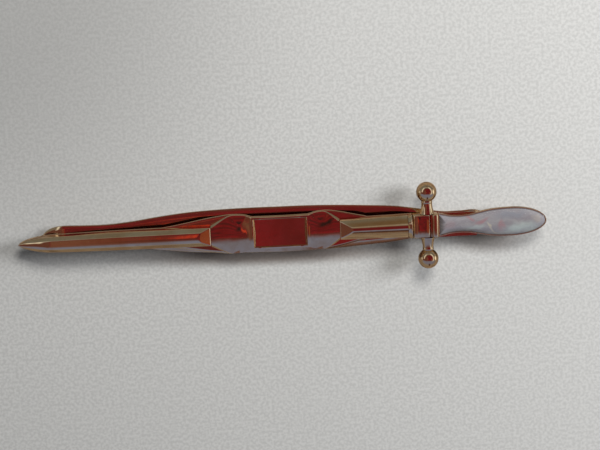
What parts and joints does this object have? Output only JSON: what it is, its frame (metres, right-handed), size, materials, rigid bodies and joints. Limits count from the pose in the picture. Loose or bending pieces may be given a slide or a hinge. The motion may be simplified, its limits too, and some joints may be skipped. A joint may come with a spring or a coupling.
{
  "type": "tie clip",
  "caption": "Sword-shaped tie clip with a pearl-inlaid grip, ball-ended guard, recessed centre panel and a sprung leaf-shaped back arm.",
  "frame": {"origin": "centre of the clip's length and width, on the underside of the back arm, where it lies face up", "axes": "+X from the sword's tip to its pommel, +Y across the guard, +Z out of the sword's face"},
  "size_m": [0.076, 0.0126, 0.0046],
  "materials": {
    "polished_gold": "polished gold-tone plating",
    "satin_gold": "satin gold-tone plating",
    "arm_gold": "polished gold-tone plating, lightly worn",
    "steel": "drawn wire",
    "mother_of_pearl": "polished mother-of-pearl"
  },
  "bodies": {
    "sword": {"front_plate": "polished_gold", "blade_bar": "polished_gold", "centre_mount": "polished_gold", "rear_bar": "polished_gold", "collar": "polished_gold", "guard_block": "polished_gold", "finial_far": "polished_gold", "finial_near": "polished_gold", "grip_tray": "polished_gold", "pearl_inlay": "mother_of_pearl", "hinge_bracket": "satin_gold", "hinge_pin": "steel", "torsion_spring": "steel"},
    "arm": {"back_arm": "arm_gold", "arm_strip": "arm_gold"}
  },
  "joints": [
    {"name": "arm_hinge", "type": "hinge", "parent": "sword", "child": "arm", "pos_m": [0.0275, 0, 0.00125], "axis": [0, -1, 0], "range_deg": [0, 15], "stiffness_Nm_per_rad": 0.06, "springref_deg": -0.46, "deforming": ["torsion_spring"]}
  ]
}
